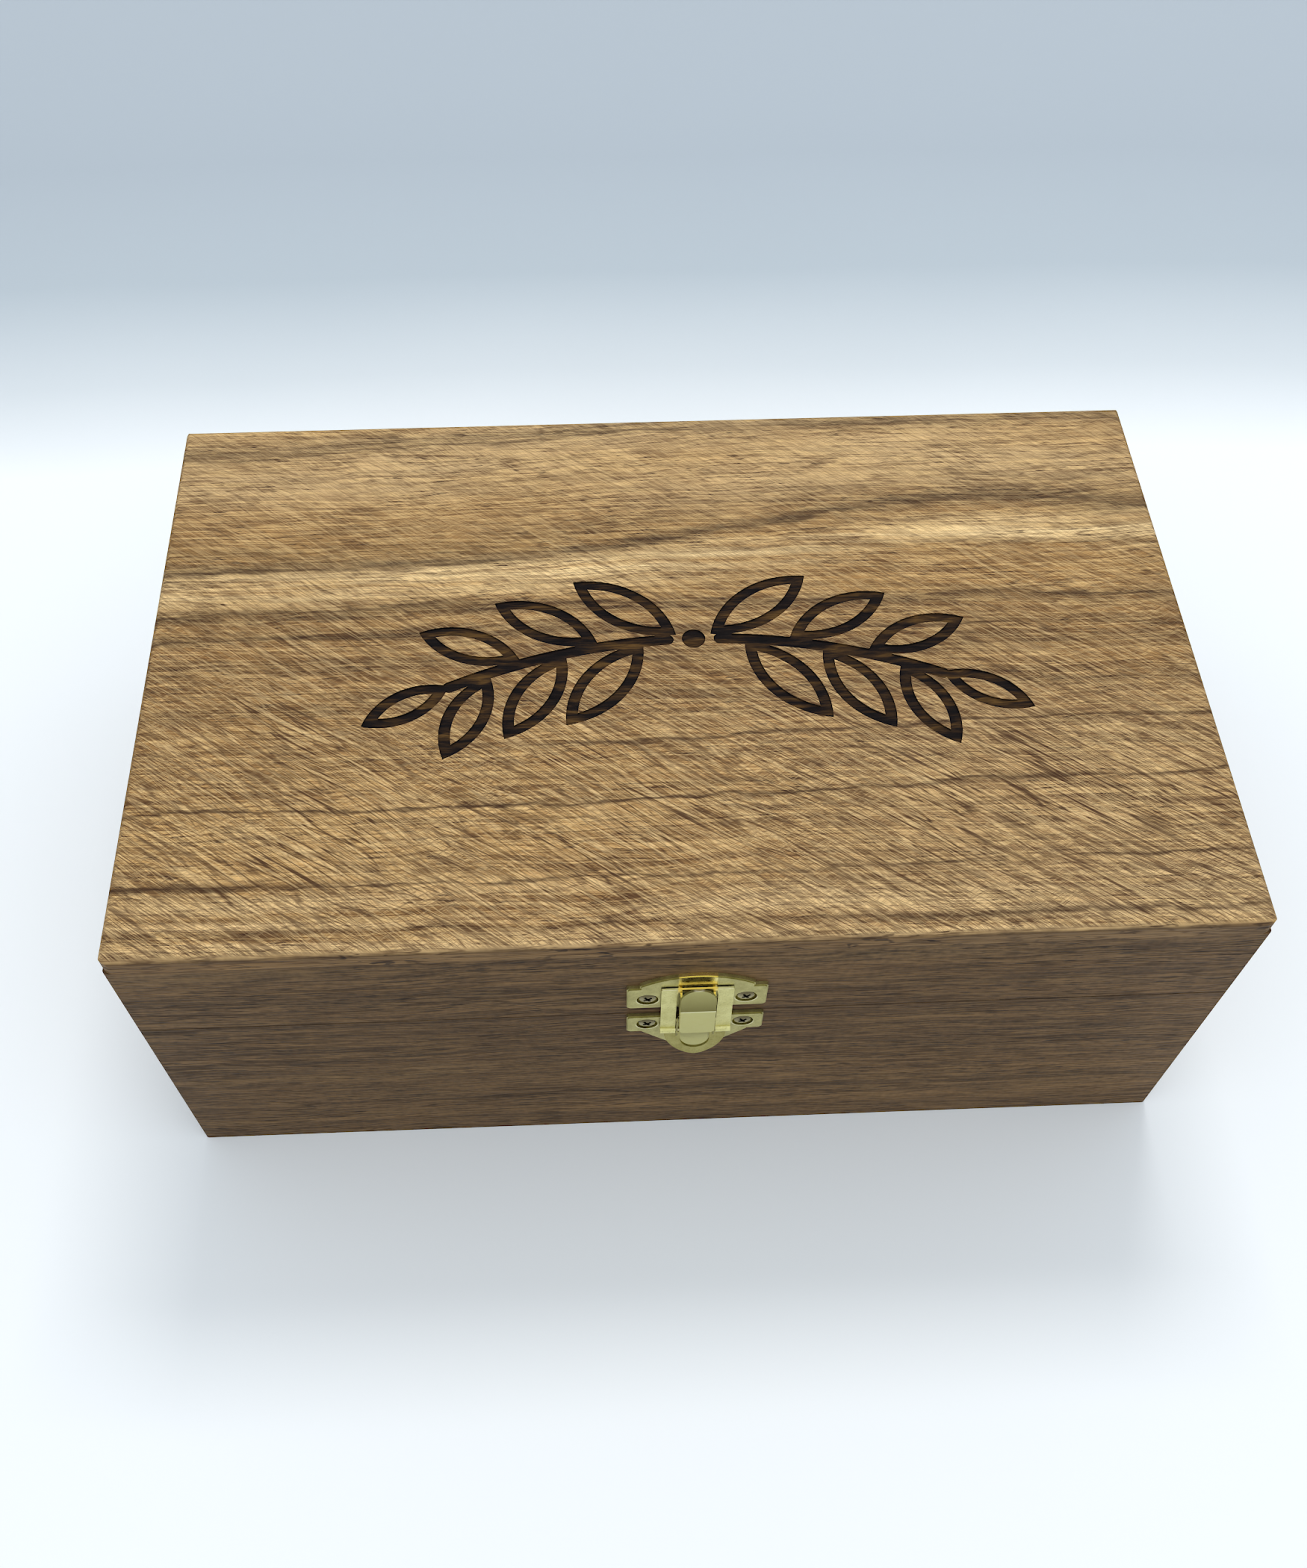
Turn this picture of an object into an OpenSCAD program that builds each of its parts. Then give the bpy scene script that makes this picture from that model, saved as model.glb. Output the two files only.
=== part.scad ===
// Hinged wooden keepsake box with a brass-plated toggle catch.
// Frame: origin on the table under the middle of the box, +X to the right
// seen from the front, front face at -Y, +Z up. Millimetres.

/* [Box] */
// Outside width, left to right
box_w = 240; // [200:1:300]
// Outside depth of the wooden body, front to back
box_d = 152; // [130:1:200]
// Overall height with the lid closed
box_h = 96; // [92:1:110]
// Height of the base, where lid and base part
split_z = 64; // [60:0.5:66]
// Thickness of the side boards
wall_t = 9; // [8.5:0.5:11]
// Thickness of the lid's top board
top_t = 5; // [4:0.5:7]
// Thickness of the bottom panel
bottom_t = 4; // [3:0.5:6]
// Depth of the rebate that the bottom panel sits in
groove = 3; // [2:0.5:4]
// Gap between lid and base where they meet
split_gap = 0.16; // [0.1:0.02:0.4]
// Rounding of the top board's edges
top_round = 1.6; // [0.8:0.1:2]

/* [Engraving] */
// Depth of the engraved sprig
engrave_depth = 0.4; // [0.2:0.1:0.8]
// Width of the engraved line
engrave_line = 3.0; // [2:0.1:3.2]

/* [Catch] */
// Sideways place of the catch on the front
catch_x = 1.5; // [-20:0.5:20]
// Width of the two catch plates
catch_w = 30.2; // [29:0.2:34]
// Thickness of the catch's sheet metal
sheet = 0.5; // [0.4:0.05:0.55]

/* [Hinges] */
// Sideways distance of each hinge from the middle
hinge_x = 72; // [50:1:80]
// Width of a hinge
hinge_w = 22; // [20:1:30]
// Opening angle at which the hinges' stops meet
lid_open = 95; // [90:1:100]

/* [Hidden] */
$fn = 64;
EPS = 0.01;
W2 = box_w / 2;
D2 = box_d / 2;
ix = W2 - wall_t;
iy = D2 - wall_t;
base_top = split_z - split_gap / 2;
lid_bottom = split_z + split_gap / 2;
wall_top = box_h - top_t;
floor_z = 0;

// catch levels, measured outward from the wood (d) and above the split (z)
plate_d = 1.0;
face_d = 4.9;
pin_r = 0.5;
run = 0.05;
P_d = 2.2;  P_z = split_z + 0.6;   // lever pivot
Q_d = 2.1;  Q_z = split_z - 4.4;   // loop pivot
kr = 0.95;                         // rolled eye radius
tip_d = 3.62; tip_z = split_z + 16.97;
crease_z = split_z + 9.7;
bar_top = split_z + 14.03;
screw_x = 10.6;
keeper_screw_z = split_z + 8.4;
plate_screw_z = split_z - 3.7;

// hinge levels
h_off = 1.6;
hy = D2 + h_off;
leaf_t = 0.8;
hk_r = 1.5;
hp_r = 0.8;

wood = [0.56, 0.43, 0.28];
wood_dark = [0.40, 0.31, 0.23];
brass = [0.74, 0.72, 0.48];
brass_gold = [0.72, 0.56, 0.22];
steel = [0.70, 0.67, 0.58];

// ---------- helpers ----------
// rectangle with rounded corners, from (a,c) to (b,d)
module rr(a, b, c, d, r) {
    translate([a + r, c]) square([b - a - 2 * r, d - c]);
    translate([a, c + r]) square([b - a, d - c - 2 * r]);
    for (x = [a + r, b - r], y = [c + r, d - r]) translate([x, y]) circle(r);
}
// rectangle with only its upper corners rounded
module rr_top(a, b, c, d, r) {
    translate([a, c]) square([b - a, d - c - r]);
    translate([a + r, c]) square([b - a - 2 * r, d - c]);
    for (x = [a + r, b - r]) translate([x, d - r]) circle(r);
}
// 2D drawing in (y, z), extruded along x
module yz(x0, x1) translate([x0, 0, 0]) rotate([90, 0, 90]) linear_extrude(height = x1 - x0) children();
// 2D drawing in (x, z), extruded outward from the front face from d0 to d1
module xz(d0, d1) translate([0, -D2 - d0, 0]) rotate([90, 0, 0]) linear_extrude(height = d1 - d0) children();
// 2D drawing in (x, z), extruded from the back face inward or outward
module xzb(y0, y1) translate([0, y1, 0]) rotate([90, 0, 0]) linear_extrude(height = y1 - y0) children();
function F(d, z) = [-D2 - d, z];
module rod(x0, x1, d, z, r) translate([x0, -D2 - d, z]) rotate([0, 90, 0]) cylinder(h = x1 - x0, r = r);

// outside shape of the wooden body between two heights, with eased edges
module shell(z0, z1, r) {
    intersection() {
        translate([0, 0, z0]) linear_extrude(height = z1 - z0) rr(-W2, W2, -D2, D2, 1.0);
        yz(-W2 - 1, W2 + 1) rr(-D2, D2, z0, z1, r);
        translate([0, D2 + 1, 0]) rotate([90, 0, 0]) linear_extrude(height = box_d + 2) rr(-W2, W2, z0, z1, r);
    }
}

// ---------- wooden boards ----------
module cb(x0, x1, y0, y1, z0, z1) translate([x0, y0, z0]) cube([x1 - x0, y1 - y0, z1 - z0]);

module bottom_space() cb(-ix - groove, ix + groove, -iy - groove, iy + groove, floor_z, floor_z + bottom_t);
module pilot(x, z, r, depth) translate([x, -D2 - 1, z]) rotate([-90, 0, 0]) cylinder(h = depth + 1, r = r);
module pilot_back(x, z, r, depth) translate([x, D2 + 1, z]) rotate([90, 0, 0]) cylinder(h = depth + 1, r = r);

module base_front_board() color(wood_dark) difference() {
    intersection() { shell(0, base_top, 0.2); cb(-W2 - 1, W2 + 1, -D2 - 1, -iy, -1, base_top + 1); }
    bottom_space();
    for (s = [-1, 1]) catch_pilot(catch_x + s * screw_x, plate_screw_z);
}
module base_back_board() color(wood_dark) difference() {
    intersection() { shell(0, base_top, 0.2); cb(-W2 - 1, W2 + 1, iy, D2 + 1, -1, base_top + 1); }
    bottom_space();
    for (x = [-hinge_x, hinge_x], s = [-1, 1]) hinge_pilot(x + s * 7, split_z - 7);
}
module base_left_board() color(wood_dark) difference() {
    intersection() { shell(0, base_top, 0.2); cb(-W2 - 1, -ix, -iy, iy, -1, base_top + 1); }
    bottom_space();
}
module base_right_board() color(wood_dark) difference() {
    intersection() { shell(0, base_top, 0.2); cb(ix, W2 + 1, -iy, iy, -1, base_top + 1); }
    bottom_space();
}
module base_bottom_panel() color(wood) bottom_space();

module lid_front_board() color(wood_dark) difference() {
    intersection() { shell(lid_bottom, box_h, 0.2); cb(-W2 - 1, W2 + 1, -D2 - 1, -iy, lid_bottom - 1, wall_top); }
    for (s = [-1, 1]) catch_pilot(catch_x + s * screw_x, keeper_screw_z);
}
module lid_back_board() color(wood_dark) difference() {
    intersection() { shell(lid_bottom, box_h, 0.2); cb(-W2 - 1, W2 + 1, iy, D2 + 1, lid_bottom - 1, wall_top); }
    for (x = [-hinge_x, hinge_x], s = [-1, 1]) hinge_pilot(x + s * 7, split_z + 7);
}
module lid_left_board() color(wood_dark)
    intersection() { shell(lid_bottom, box_h, 0.2); cb(-W2 - 1, -ix, -iy, iy, lid_bottom - 1, wall_top); }
module lid_right_board() color(wood_dark)
    intersection() { shell(lid_bottom, box_h, 0.2); cb(ix, W2 + 1, -iy, iy, lid_bottom - 1, wall_top); }

// leaf outline of constant line width: two circles cross, smaller ones cut the inside
module leaf2d(len, wid, line) {
    R = (len * len / 4 + wid * wid / 4) / wid;
    c = R - wid / 2;
    difference() {
        intersection() { translate([0, c]) circle(R); translate([0, -c]) circle(R); }
        intersection() { translate([0, c]) circle(R - line); translate([0, -c]) circle(R - line); }
    }
}
// arc of a ring between two angles, with round ends
module arc2d(R, line, a0, a1) {
    intersection() {
        difference() { circle(R + line / 2, $fn = 180); circle(R - line / 2, $fn = 180); }
        polygon([[0, 0], 2 * R * [cos(a0), sin(a0)], 2 * R * [cos((a0 + a1) / 2), sin((a0 + a1) / 2)], 2 * R * [cos(a1), sin(a1)]]);
    }
    for (a = [a0, a1]) translate(R * [cos(a), sin(a)]) circle(line / 2);
}
// generic leafy sprig: two mirrored arcs of stem that part in the middle, with leaves
stem_R = 135;
stem_a = 24.5;
module half_sprig() {
    translate([0, -stem_R]) {
        arc2d(stem_R, engrave_line, 90 + 2.6, 90 + stem_a);
        for (i = [0 : 2]) let (a = 90 + 6.2 + i * 7.4) {
            rotate(a) translate([stem_R + 10.6 - i * 0.7, 0]) rotate(90 - 42) leaf2d(29 - i * 2, 11.5 - i * 0.7, engrave_line - 0.4);
            rotate(a + 3.4) translate([stem_R - 10.6 + i * 0.7, 0]) rotate(90 + 42) leaf2d(29 - i * 2, 11.5 - i * 0.7, engrave_line - 0.4);
        }
        rotate(90 + stem_a + 4.6) translate([stem_R, 0]) rotate(90) leaf2d(22, 9, engrave_line - 0.4);
    }
}
module lid_top_board() color(wood) difference() {
    intersection() {
        translate([0, 0, wall_top]) linear_extrude(height = top_t) rr(-W2, W2, -D2, D2, 2.2);
        yz(-W2 - 1, W2 + 1) rr_top(-D2, D2, wall_top, box_h, top_round);
        translate([0, D2 + 1, 0]) rotate([90, 0, 0]) linear_extrude(height = box_d + 2) rr_top(-W2, W2, wall_top, box_h, top_round);
    }
    translate([5, 3, box_h - engrave_depth]) linear_extrude(height = 2) {
        half_sprig();
        mirror([1, 0]) half_sprig();
        circle(engrave_line * 0.9);
    }
}

// ---------- catch ----------
module catch_pilot(x, z) pilot(x, z, 0.95, 8.0);
module keeper_outline(inset) {
    hw = catch_w / 2 - inset;
    rr(-hw, hw, split_z + 4.2 + inset, split_z + 13.4 - inset, 0.7);
    intersection() {
        translate([0, split_z - 2.0]) circle(20.5 - inset, $fn = 120);
        translate([-12.3 + inset, split_z + 5 + inset]) square([24.6 - 2 * inset, 20]);
    }
}
module plate_outline(inset) {
    hw = catch_w / 2 - inset;
    rr(-hw, hw, split_z - 7.6 + inset, split_z - 0.15 - inset, 0.7);
    polygon([[-11.9 + inset, split_z - 7.4], [-11.9 + inset, split_z - 7.8 + inset * 0.4], [-4.1 + inset * 0.7, split_z - 15.2 + inset * 0.7],
             [4.1 - inset * 0.7, split_z - 15.2 + inset * 0.7], [11.9 - inset, split_z - 7.8 + inset * 0.4], [11.9 - inset, split_z - 7.4], [8, split_z - 5], [-8, split_z - 5]]);
    translate([0, split_z - 13.2]) circle(4.5 - inset);
}
// countersunk seat and clearance hole for a catch screw
module screw_seat(x, z) translate([x, -D2, z]) rotate([90, 0, 0]) {
    translate([0, 0, 0.12]) cylinder(h = 2, r = 2.3);
    translate([0, 0, -1]) cylinder(h = 3, r = 1.05);
}
// small screw with a domed cross-slot head, driven in from the front
module catch_screw(x, z) translate([x, -D2 - 0.12, z]) rotate([90, 0, 0]) {
    difference() {
        union() {
            cylinder(h = 0.63, r = 1.85);
            translate([0, 0, 0.63]) intersection() {
                cylinder(h = 0.5, r = 1.85);
                translate([0, 0, -5.71]) sphere(r = 6.0);
            }
            translate([0, 0, -6.0]) cylinder(h = 6.01, r = 0.95);
            translate([0, 0, -7.6]) cylinder(h = 1.61, r1 = 0.12, r2 = 0.95);
        }
        for (a = [35, 125]) rotate(a) translate([-1.05, -0.25, 0.5]) cube([2.1, 0.5, 2]);
    }
}
// upper plate, pressed as a shallow tray, with the raised hook the loop drops into
module catch_keeper() color(brass) translate([catch_x, 0, 0]) {
    difference() {
        union() {
            difference() {
                union() {
                    xz(0, plate_d - 0.25) keeper_outline(0);
                    xz(0, plate_d) keeper_outline(0.3);
                }
                xz(-EPS, plate_d - sheet) difference() {
                    keeper_outline(sheet);
                    for (s = [-1, 1]) translate([s * screw_x, keeper_screw_z]) circle(2.9);
                    translate([-4.1, 0]) square([8.2, 200]);
                }
            }
            // side cheeks of the hook
            for (x = [-3.8, 3.8 - sheet]) yz(x, x + sheet)
                polygon([F(0.6, split_z + 4.6), F(0.6, split_z + 13.0), F(3.7, split_z + 13.0), F(4.5, crease_z), F(4.6, split_z + 0.4),
                         F(3.7, split_z + 0.4), F(3.3, split_z + 2.4)]);
            // front of the hook, with rounded lower corners
            intersection() {
                xz(face_d - sheet, face_d) rr(-3.8, 3.8, split_z - 0.7, crease_z + 3, 1.1);
                cb(-9, 9, -D2 - 9, -D2, 0, crease_z);
            }
            // tip, leaning back over the loop's bar, with a round end
            intersection() {
                yz(-3.8, 3.8) polygon([F(face_d - sheet, crease_z), F(face_d, crease_z), F(tip_d, tip_z), F(tip_d - 0.49, tip_z - 0.09)]);
                xz(0, 9) union() {
                    translate([-3.8, 0]) square([7.6, tip_z - 3.75]);
                    translate([0, tip_z - 3.8]) circle(3.8);
                }
            }
        }
        for (s = [-1, 1]) screw_seat(s * screw_x, keeper_screw_z);
        // shallow pressed panel behind the hook and its two relief notches
        xz(plate_d - 0.12, plate_d + 0.02) difference() {
            translate([-4.1, split_z + 4.9]) square([8.2, 11.5]);
            for (x = [-3.85, 3.25]) translate([x, 0]) square([0.6, split_z + 13.2]);
        }
        for (s = [-1, 1]) xz(-1, 2) translate([s * 2.15 - 0.35, split_z + 15.9]) square([0.7, 0.8]);
    }
}
module catch_keeper_screws() color(steel) for (s = [-1, 1]) catch_screw(catch_x + s * screw_x, keeper_screw_z);

// lower plate with the rolled eye that carries the lever
module catch_base_plate() color(brass) translate([catch_x, 0, 0]) difference() {
    union() {
        difference() {
            union() {
                xz(0, plate_d - 0.25) plate_outline(0);
                xz(0, plate_d) plate_outline(0.3);
            }
            xz(-EPS, plate_d - sheet) difference() {
                plate_outline(sheet);
                for (s = [-1, 1]) translate([s * screw_x, plate_screw_z]) circle(2.9);
                translate([-3, split_z - 4]) square([6, 20]);
            }
        }
        yz(-3, 3) polygon([F(0.2, split_z - 3), F(plate_d, split_z - 3), F(plate_d, split_z - 1.6), F(P_d + 0.3, P_z - 0.85), F(P_d, P_z), F(P_d - 0.6, P_z + 0.6), F(0.6, split_z - 0.2), F(0.2, split_z - 0.2)]);
        rod(-3, 3, P_d, P_z, kr);
    }
    rod(-4, 4, P_d, P_z, pin_r);
    for (s = [-1, 1]) screw_seat(s * screw_x, plate_screw_z);
}
module catch_base_screws() color(steel) for (s = [-1, 1]) catch_screw(catch_x + s * screw_x, plate_screw_z);
module catch_lever_pin() color(steel) translate([catch_x, 0, 0]) rod(-4.33, 4.33, P_d, P_z, pin_r);

// finger lever: flared rounded plate with a window, and two arms with eyes
lev_top = split_z - 5.7;
lev_len = 7.65;
lev_d = 2.2;
flare = 0.249;
function lev_w(s) = 6.9 * pow(max(0, 1 - pow(s / lev_len, 2)), 0.62);
function win_w(s) = s < 2.5 ? 3.25 : 3.25 * sqrt(max(0, 1 - pow((s - 2.5) / 2.97, 2)));
module catch_lever() color(brass) translate([catch_x, 0, 0]) difference() {
    union() {
        intersection() {
            yz(-8, 8) polygon([F(lev_d - sheet, lev_top), F(lev_d, lev_top), F(lev_d + flare * (lev_len + 1), lev_top - lev_len - 1), F(lev_d + flare * (lev_len + 1) - sheet, lev_top - lev_len - 1)]);
            xz(0, 9) difference() {
                polygon(concat([for (i = [0 : 24]) let (s = lev_len * sin(90 * i / 24)) [lev_w(s), lev_top - s]],
                               [for (i = [23 : -1 : 0]) let (s = lev_len * sin(90 * i / 24)) [-lev_w(s), lev_top - s]]));
                polygon(concat([[3.25, lev_top + 2]], [for (i = [0 : 16]) let (s = 2.5 + 2.97 * sin(90 * i / 16)) [win_w(s), lev_top - s]],
                               [for (i = [15 : -1 : 0]) let (s = 2.5 + 2.97 * sin(90 * i / 16)) [-win_w(s), lev_top - s]], [[-3.25, lev_top + 2]]));
            }
        }
        for (x = [-4.25, 3.9]) {
            rod(x, x + 0.35, P_d, P_z, kr);
            rod(x, x + 0.35, Q_d, Q_z, kr);
            yz(x, x + 0.35) polygon([F(P_d - 0.75, P_z), F(P_d + 0.75, P_z), F(Q_d + 0.75, Q_z), F(lev_d + 0.35, lev_top - 1.4), F(lev_d - 0.2, lev_top - 1.6), F(Q_d - 0.75, Q_z)]);
        }
    }
    rod(-5, 5, P_d, P_z, pin_r + run);
    rod(-5, 5, Q_d, Q_z, pin_r);
}
module catch_loop_pin() color(steel) translate([catch_x, 0, 0]) rod(-7.7, 7.7, Q_d, Q_z, pin_r);

// loop: top bar, two flat side strips, rolled eyes at their lower ends
module catch_loop() color(brass) translate([catch_x, 0, 0]) difference() {
    union() {
        intersection() {
            yz(-8, 8) polygon([F(1.85, Q_z), F(2.3, Q_z), F(1.7, bar_top), F(1.25, bar_top)]);
            xz(0, 9) difference() {
                rr(-7.75, 7.75, Q_z - 2, bar_top, 0.4);
                difference() {
                    translate([-4.4, Q_z - 3]) square([8.8, bar_top - 0.8 - Q_z + 3]);
                    for (s = [-1, 1]) polygon([[s * 4.5, bar_top - 0.7], [s * 4.5, bar_top - 3.4], [s * 4.3, bar_top - 2.2], [s * 4.12, bar_top - 0.7]]);
                }
            }
        }
        for (x = [-7.75, 4.4]) rod(x, x + 3.35, Q_d, Q_z, kr);
    }
    rod(-9, 9, Q_d, Q_z, pin_r + run);
}

// ---------- hinges ----------
module hinge_pilot(x, z) pilot_back(x, z, 0.8, 7.0);
module hrod(x0, x1, r) translate([x0, hy, split_z]) rotate([0, 90, 0]) cylinder(h = x1 - x0, r = r);
hw = hinge_w / 2;
k1 = hinge_w / 6;
stop_a = lid_open / 2 + 0.2;
// profiles in (y, z) measured from the hinge axis; up = lid leaf, otherwise base leaf
module leaf_web(up) mirror([0, up ? 0 : 1]) polygon([[-h_off, 3.2], [-h_off + leaf_t, 3.2], [0, hk_r - 0.1], [0, 0], [-1.25, 0], [-1.48, 0.6]]);
module stop_arm(up, r0, r1) mirror([0, up ? 0 : 1]) rotate(stop_a) translate([r0, 0]) square([r1 - r0, leaf_t]);
module knuckle(x0, x1, up, bore) translate([x0, hy, split_z]) rotate([90, 0, 90]) linear_extrude(height = x1 - x0) difference() {
    union() { leaf_web(up); circle(hk_r); stop_arm(up, 1.0, 4.25); }
    circle(bore);
}
module stop_bar(x0, x1, up) translate([x0, hy, split_z]) rotate([90, 0, 90]) linear_extrude(height = x1 - x0) stop_arm(up, 1.75, 4.25);
module leaf_plate(up) translate([0, D2 + leaf_t, split_z]) mirror([0, 0, up ? 0 : 1]) rotate([90, 0, 0]) linear_extrude(height = leaf_t) rr(-hw, hw, 1.8, 12, 1.0);
module leaf_holes(x, z) for (s = [-1, 1]) translate([x + s * 7, D2, z]) rotate([-90, 0, 0]) {
    translate([0, 0, -1]) cylinder(h = 3, r = 0.85);
    translate([0, 0, 0.1]) cylinder(h = leaf_t, r1 = 0.85, r2 = 1.7);
}
module base_leaf(x) color(brass) difference() {
    translate([x, 0, 0]) {
        leaf_plate(false);
        knuckle(-hw, -k1 - 0.1, false, hp_r);
        knuckle(k1 + 0.1, hw, false, hp_r);
        stop_bar(-k1 - 0.2, k1 + 0.2, false);
    }
    leaf_holes(x, split_z - 7);
}
module lid_leaf(x) color(brass) difference() {
    translate([x, 0, 0]) {
        leaf_plate(true);
        knuckle(-k1 + 0.1, k1 - 0.1, true, hp_r + run);
        stop_bar(-hw, hw, true);
    }
    leaf_holes(x, split_z + 7);
}
module hinge_pin(x) color(steel) translate([x, 0, 0]) hrod(-hw, hw, hp_r);
// flat-headed screw, driven in from the back
module hinge_screw(x, z) translate([x, D2, z]) rotate([-90, 0, 0]) difference() {
    union() {
        translate([0, 0, 0.12]) cylinder(h = leaf_t - 0.16, r1 = 0.8, r2 = 1.5);
        translate([0, 0, -5.4]) cylinder(h = 5.53, r = 0.8);
        translate([0, 0, -6.8]) cylinder(h = 1.41, r1 = 0.1, r2 = 0.8);
    }
    for (a = [20, 110]) rotate(a) translate([-0.95, -0.2, 0.42]) cube([1.9, 0.4, 2]);
}
module hinge_left_base_leaf() base_leaf(-hinge_x);
module hinge_left_lid_leaf() lid_leaf(-hinge_x);
module hinge_left_pin() hinge_pin(-hinge_x);
module hinge_right_base_leaf() base_leaf(hinge_x);
module hinge_right_lid_leaf() lid_leaf(hinge_x);
module hinge_right_pin() hinge_pin(hinge_x);
module hinge_base_screws() color(steel) for (x = [-hinge_x, hinge_x], s = [-1, 1]) hinge_screw(x + s * 7, split_z - 7);
module hinge_lid_screws() color(steel) for (x = [-hinge_x, hinge_x], s = [-1, 1]) hinge_screw(x + s * 7, split_z + 7);

base_front_board();
base_back_board();
base_left_board();
base_right_board();
base_bottom_panel();
lid_front_board();
lid_back_board();
lid_left_board();
lid_right_board();
lid_top_board();
catch_keeper();
catch_keeper_screws();
catch_base_plate();
catch_base_screws();
catch_lever();
catch_lever_pin();
catch_loop();
catch_loop_pin();
hinge_left_base_leaf();
hinge_left_lid_leaf();
hinge_left_pin();
hinge_right_base_leaf();
hinge_right_lid_leaf();
hinge_right_pin();
hinge_base_screws();
hinge_lid_screws();
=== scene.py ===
import math
import random

import bmesh
import bpy
from mathutils import Matrix, Vector

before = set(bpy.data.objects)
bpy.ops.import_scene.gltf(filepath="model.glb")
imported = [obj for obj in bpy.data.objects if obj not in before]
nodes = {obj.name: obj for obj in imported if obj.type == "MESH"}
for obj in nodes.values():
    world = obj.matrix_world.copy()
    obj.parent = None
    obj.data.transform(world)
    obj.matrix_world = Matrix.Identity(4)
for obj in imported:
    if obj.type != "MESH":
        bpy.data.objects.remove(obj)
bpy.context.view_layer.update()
random.seed(7)

W, D, H = 0.240, 0.152, 0.096
SPLIT = 0.064


# ---------------------------------------------------------------- node helpers
def lin(r, g, b):
    """8-bit sRGB to linear RGBA."""
    out = []
    for c in (r, g, b):
        c /= 255.0
        out.append(c / 12.92 if c <= 0.04045 else ((c + 0.055) / 1.055) ** 2.4)
    return (*out, 1.0)


class Graph:
    def __init__(self, name):
        self.mat = bpy.data.materials.new(name)
        self.mat.use_nodes = True
        self.t = self.mat.node_tree
        self.t.nodes.clear()
        self.out = self.t.nodes.new("ShaderNodeOutputMaterial")
        self.bsdf = self.t.nodes.new("ShaderNodeBsdfPrincipled")
        self.t.links.new(self.bsdf.outputs[0], self.out.inputs[0])

    def put(self, sock, v):
        if isinstance(v, bpy.types.NodeSocket):
            self.t.links.new(v, sock)
        elif v is not None:
            sock.default_value = v

    def coord(self):
        return self.t.nodes.new("ShaderNodeTexCoord").outputs["Object"]

    def normal(self):
        return self.t.nodes.new("ShaderNodeNewGeometry").outputs["True Normal"]

    def split(self, v):
        n = self.t.nodes.new("ShaderNodeSeparateXYZ")
        self.put(n.inputs[0], v)
        return n.outputs[0], n.outputs[1], n.outputs[2]

    def join(self, x, y, z):
        n = self.t.nodes.new("ShaderNodeCombineXYZ")
        for s, v in zip(n.inputs, (x, y, z)):
            self.put(s, v)
        return n.outputs[0]

    def m(self, op, a, b=None, c=None, clamp=False):
        n = self.t.nodes.new("ShaderNodeMath")
        n.operation = op
        n.use_clamp = clamp
        for s, v in zip(n.inputs, (a, b, c)):
            self.put(s, v)
        return n.outputs[0]

    def noise(self, vec, scale=1.0, detail=2.0, rough=0.5, dist=0.0):
        n = self.t.nodes.new("ShaderNodeTexNoise")
        self.put(n.inputs["Vector"], vec)
        n.inputs["Scale"].default_value = scale
        n.inputs["Detail"].default_value = detail
        n.inputs["Roughness"].default_value = rough
        n.inputs["Distortion"].default_value = dist
        return n.outputs[0]

    def cells(self, vec, scale=1.0, feature="F1", rnd=1.0):
        n = self.t.nodes.new("ShaderNodeTexVoronoi")
        n.feature = feature
        self.put(n.inputs["Vector"], vec)
        n.inputs["Scale"].default_value = scale
        n.inputs["Randomness"].default_value = rnd
        return n.outputs["Distance"]

    def span(self, v, a, b, c=0.0, d=1.0, smooth=False):
        n = self.t.nodes.new("ShaderNodeMapRange")
        n.clamp = True
        if smooth:
            n.interpolation_type = "SMOOTHSTEP"
        for s, x in zip(n.inputs, (v, a, b, c, d)):
            self.put(s, x)
        return n.outputs[0]

    def ramp(self, fac, stops):
        n = self.t.nodes.new("ShaderNodeValToRGB")
        self.put(n.inputs[0], fac)
        e = n.color_ramp.elements
        e[0].position, e[0].color = stops[0]
        e[1].position, e[1].color = stops[-1]
        for p, c in stops[1:-1]:
            x = e.new(p)
            x.color = c
        return n.outputs[0]

    def mix(self, fac, a, b, blend="MIX"):
        n = self.t.nodes.new("ShaderNodeMix")
        n.data_type = "RGBA"
        n.blend_type = blend
        self.put(n.inputs[0], fac)
        self.put(n.inputs[6], a)
        self.put(n.inputs[7], b)
        return n.outputs[2]

    def tint(self, col, rgb):
        n = self.t.nodes.new("ShaderNodeVectorMath")
        n.operation = "MULTIPLY"
        self.put(n.inputs[0], col)
        n.inputs[1].default_value = rgb
        return n.outputs[0]

    def scale(self, col, f):
        n = self.t.nodes.new("ShaderNodeVectorMath")
        n.operation = "SCALE"
        self.put(n.inputs[0], col)
        self.put(n.inputs["Scale"], f)
        return n.outputs[0]

    def vary(self, *pairs):
        """1 plus the weighted swings of some noises about their middle."""
        out = 1.0
        for n, k in pairs:
            out = self.m("ADD", self.m("MULTIPLY", self.m("SUBTRACT", n, 0.5), k), out)
        return self.m("MAXIMUM", out, 0.12)

    def bump(self, height, dist, strength=1.0, normal=None):
        n = self.t.nodes.new("ShaderNodeBump")
        n.inputs["Distance"].default_value = dist
        n.inputs["Strength"].default_value = strength
        self.put(n.inputs["Height"], height)
        if normal is not None:
            self.put(n.inputs["Normal"], normal)
        return n.outputs[0]

    def add(self, *vs):
        out = vs[0]
        for v in vs[1:]:
            out = self.m("ADD", out, v)
        return out

    def mul(self, *vs):
        out = vs[0]
        for v in vs[1:]:
            out = self.m("MULTIPLY", out, v)
        return out

    def near(self, v, centre, half, soft=1.0):
        """1 on the line v = centre, falling to 0 at half either side."""
        d = self.m("ABSOLUTE", self.m("SUBTRACT", v, centre))
        return self.span(d, 0.0, self.m("MULTIPLY", half, 1.0) if isinstance(half, bpy.types.NodeSocket) else half, 1.0, 0.0, smooth=True)


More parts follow.
